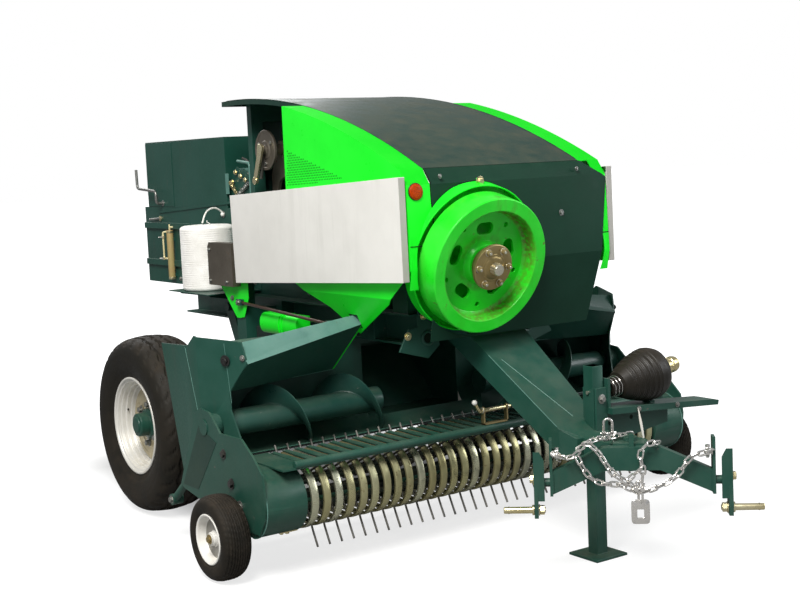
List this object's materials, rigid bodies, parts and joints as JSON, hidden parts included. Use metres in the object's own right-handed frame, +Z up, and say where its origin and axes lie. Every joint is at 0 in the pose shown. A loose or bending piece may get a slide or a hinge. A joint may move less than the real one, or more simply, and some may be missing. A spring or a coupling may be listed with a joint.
{
  "type": "square baler",
  "caption": "Trailed small square baler: green hood over a bale chamber, front flywheel, full-width tined pickup with augers and gauge wheels, tongue with a swivelling hitch beam and stand.",
  "frame": {"origin": "on the ground, at the middle of the whole machine's length and width", "axes": "+X the machine's left, +Y its rear, +Z up"},
  "size_m": [2.332, 3.672, 1.7549],
  "materials": {
    "dark_paint": "semi-gloss enamel",
    "bright_paint": "gloss enamel",
    "grey_sheet": "satin powder coat",
    "zinc": "yellow zinc plating",
    "bright_zinc": "bright zinc plating",
    "tyre": "worn rubber",
    "rim_paint": "silver enamel",
    "white_rim": "white enamel",
    "bare_steel": "oiled, lightly rusted steel",
    "black_rubber": "matt rubber",
    "twine": "wound polypropylene twine",
    "reflector": "moulded reflector"
  },
  "bodies": {
    "chassis": {"main_frame": "dark_paint", "axle": "dark_paint", "tongue": "dark_paint", "bale_chamber": "dark_paint", "density_gear": "zinc", "twine_box": "dark_paint", "twine_shelf": "dark_paint", "twine_spool": "twine", "knotters": "bare_steel", "needle_yoke": "dark_paint", "canopy_arch": "dark_paint", "hood_top": "dark_paint", "hood_front": "dark_paint", "side_panel_right": "bright_paint", "side_panel_left": "bright_paint", "side_guard_right": "grey_sheet", "side_guard_left": "grey_sheet", "reflector": "reflector", "flywheel_guard": "bright_paint", "gearbox": "dark_paint", "feed_trough": "dark_paint", "side_shield_right": "dark_paint", "side_shield_left": "dark_paint", "pto_support": "dark_paint", "pto_bell": "black_rubber", "pto_yoke": "zinc"},
    "wheel_right": {"tyre_right": "tyre", "rim_right": "rim_paint"},
    "wheel_left": {"tyre_left": "tyre", "rim_left": "rim_paint"},
    "drive_wheel": {"flywheel": "bright_paint", "clutch_ring": "zinc"},
    "right_auger": {"auger_right": "dark_paint"},
    "left_auger": {"auger_left": "dark_paint"},
    "hitch": {"hitch_beam": "dark_paint", "hitch_pins": "zinc", "hitch_chain": "bright_zinc"},
    "parking_stand": {"stand": "dark_paint"},
    "pickup": {"pickup_frame": "dark_paint", "pickup_bands": "zinc", "windguard": "dark_paint", "lift_crank": "zinc"},
    "reel": {"tine_reel": "bare_steel"},
    "gauge_right": {"gauge_tyre_right": "tyre", "gauge_rim_right": "white_rim"},
    "gauge_left": {"gauge_tyre_left": "tyre", "gauge_rim_left": "white_rim"},
    "box_lid": {"twine_lid": "dark_paint"}
  },
  "joints": [
    {"name": "wheel_right_spin", "type": "hinge", "parent": "chassis", "child": "wheel_right", "pos_m": [-0.835, 0.55405, 0.38], "axis": [1, 0, 0], "continuous": true},
    {"name": "wheel_left_spin", "type": "hinge", "parent": "chassis", "child": "wheel_left", "pos_m": [0.835, 0.55405, 0.38], "axis": [1, 0, 0], "continuous": true},
    {"name": "flywheel_spin", "type": "hinge", "parent": "chassis", "child": "drive_wheel", "pos_m": [-0.174, -0.97095, 1.064], "axis": [0, -0.9659, -0.2588], "continuous": true},
    {"name": "auger_right_spin", "type": "hinge", "parent": "chassis", "child": "right_auger", "pos_m": [-0.6, -0.31095, 0.51], "axis": [1, 0, 0], "continuous": true},
    {"name": "auger_left_spin", "type": "hinge", "parent": "chassis", "child": "left_auger", "pos_m": [0.6, -0.31095, 0.51], "axis": [1, 0, 0], "continuous": true},
    {"name": "hitch_swing", "type": "hinge", "parent": "chassis", "child": "hitch", "pos_m": [0, -1.47595, 0.424], "axis": [0, 0, 1], "range_deg": [0, 82]},
    {"name": "stand_slide", "type": "slide", "parent": "chassis", "child": "parking_stand", "axis": [0, 0, 1], "range_m": [0, 0.3]},
    {"name": "pickup_lift", "type": "hinge", "parent": "chassis", "child": "pickup", "pos_m": [0, -0.31095, 0.51], "axis": [-1, 0, 0], "range_deg": [0, 15]},
    {"name": "reel_spin", "type": "hinge", "parent": "pickup", "child": "reel", "pos_m": [0, -0.56295, 0.257], "axis": [1, 0, 0], "continuous": true},
    {"name": "gauge_right_spin", "type": "hinge", "parent": "pickup", "child": "gauge_right", "pos_m": [-1.11, -0.53595, 0.155], "axis": [1, 0, 0], "continuous": true},
    {"name": "gauge_left_spin", "type": "hinge", "parent": "pickup", "child": "gauge_left", "pos_m": [1.11, -0.53595, 0.155], "axis": [1, 0, 0], "continuous": true},
    {"name": "lid_open", "type": "hinge", "parent": "chassis", "child": "box_lid", "pos_m": [0.257, 1.35405, 1.6023], "axis": [0, 1, 0], "range_deg": [0, 105]}
  ]
}
